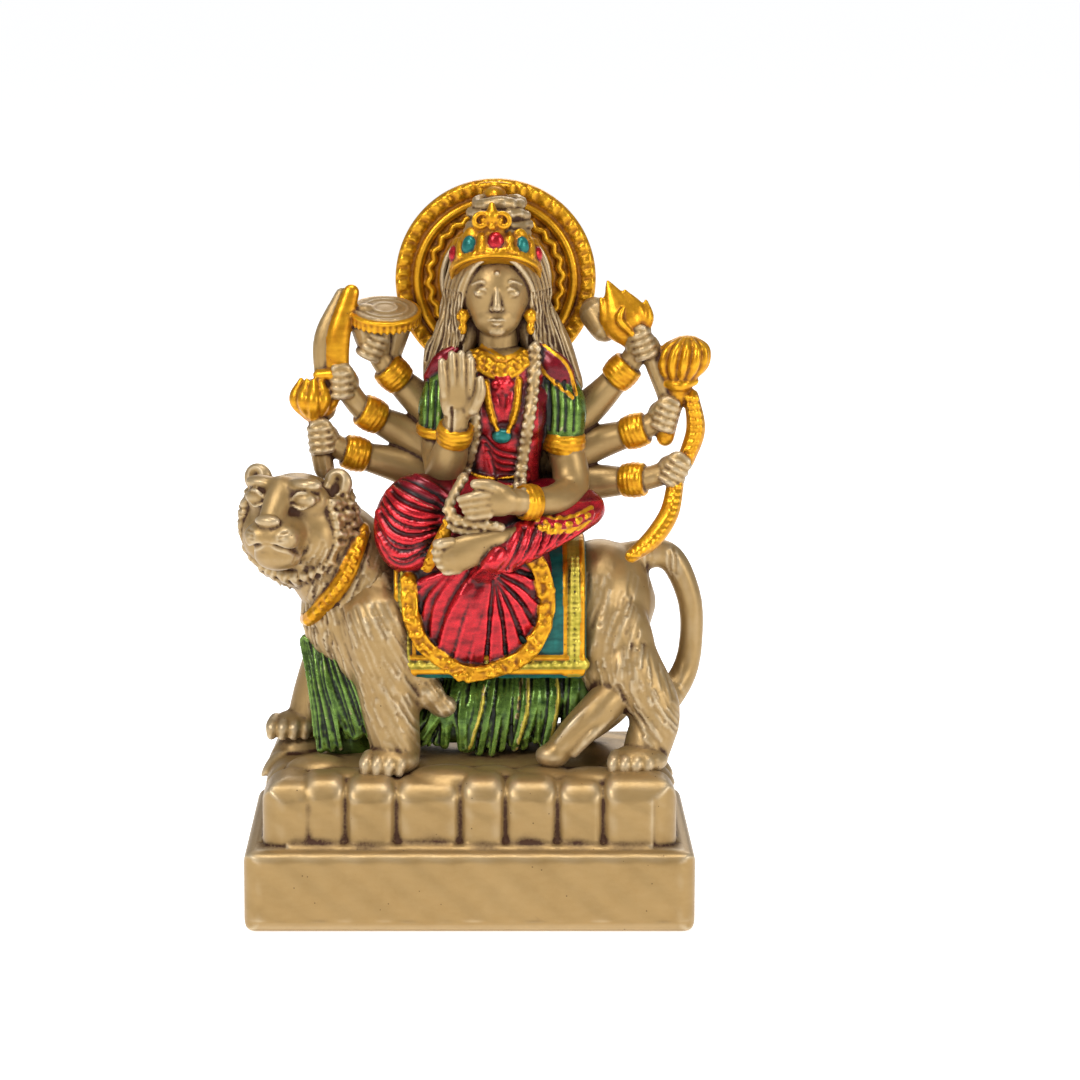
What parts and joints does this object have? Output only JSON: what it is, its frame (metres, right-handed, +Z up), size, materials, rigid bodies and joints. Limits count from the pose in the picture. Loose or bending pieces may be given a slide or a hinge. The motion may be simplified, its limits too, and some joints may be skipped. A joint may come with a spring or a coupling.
{
  "type": "deity figurine",
  "caption": "Small painted cast figurine of a many-armed goddess seated on a standing lion, one casting with its stepped plinth, for a shelf or altar.",
  "frame": {"origin": "middle of the plinth's underside", "axes": "+Z up, +X along the lion from its face to its tail, +Y from the front of the statuette to its back"},
  "size_m": [0.085, 0.05, 0.13],
  "materials": {
    "casting": "cast resin under metallic champagne-gold paint, with bright gold, red, green and teal metallic paint and a brown wash in the hollows"
  },
  "bodies": {
    "root": {"durga_figure": "casting"}
  },
  "joints": []
}
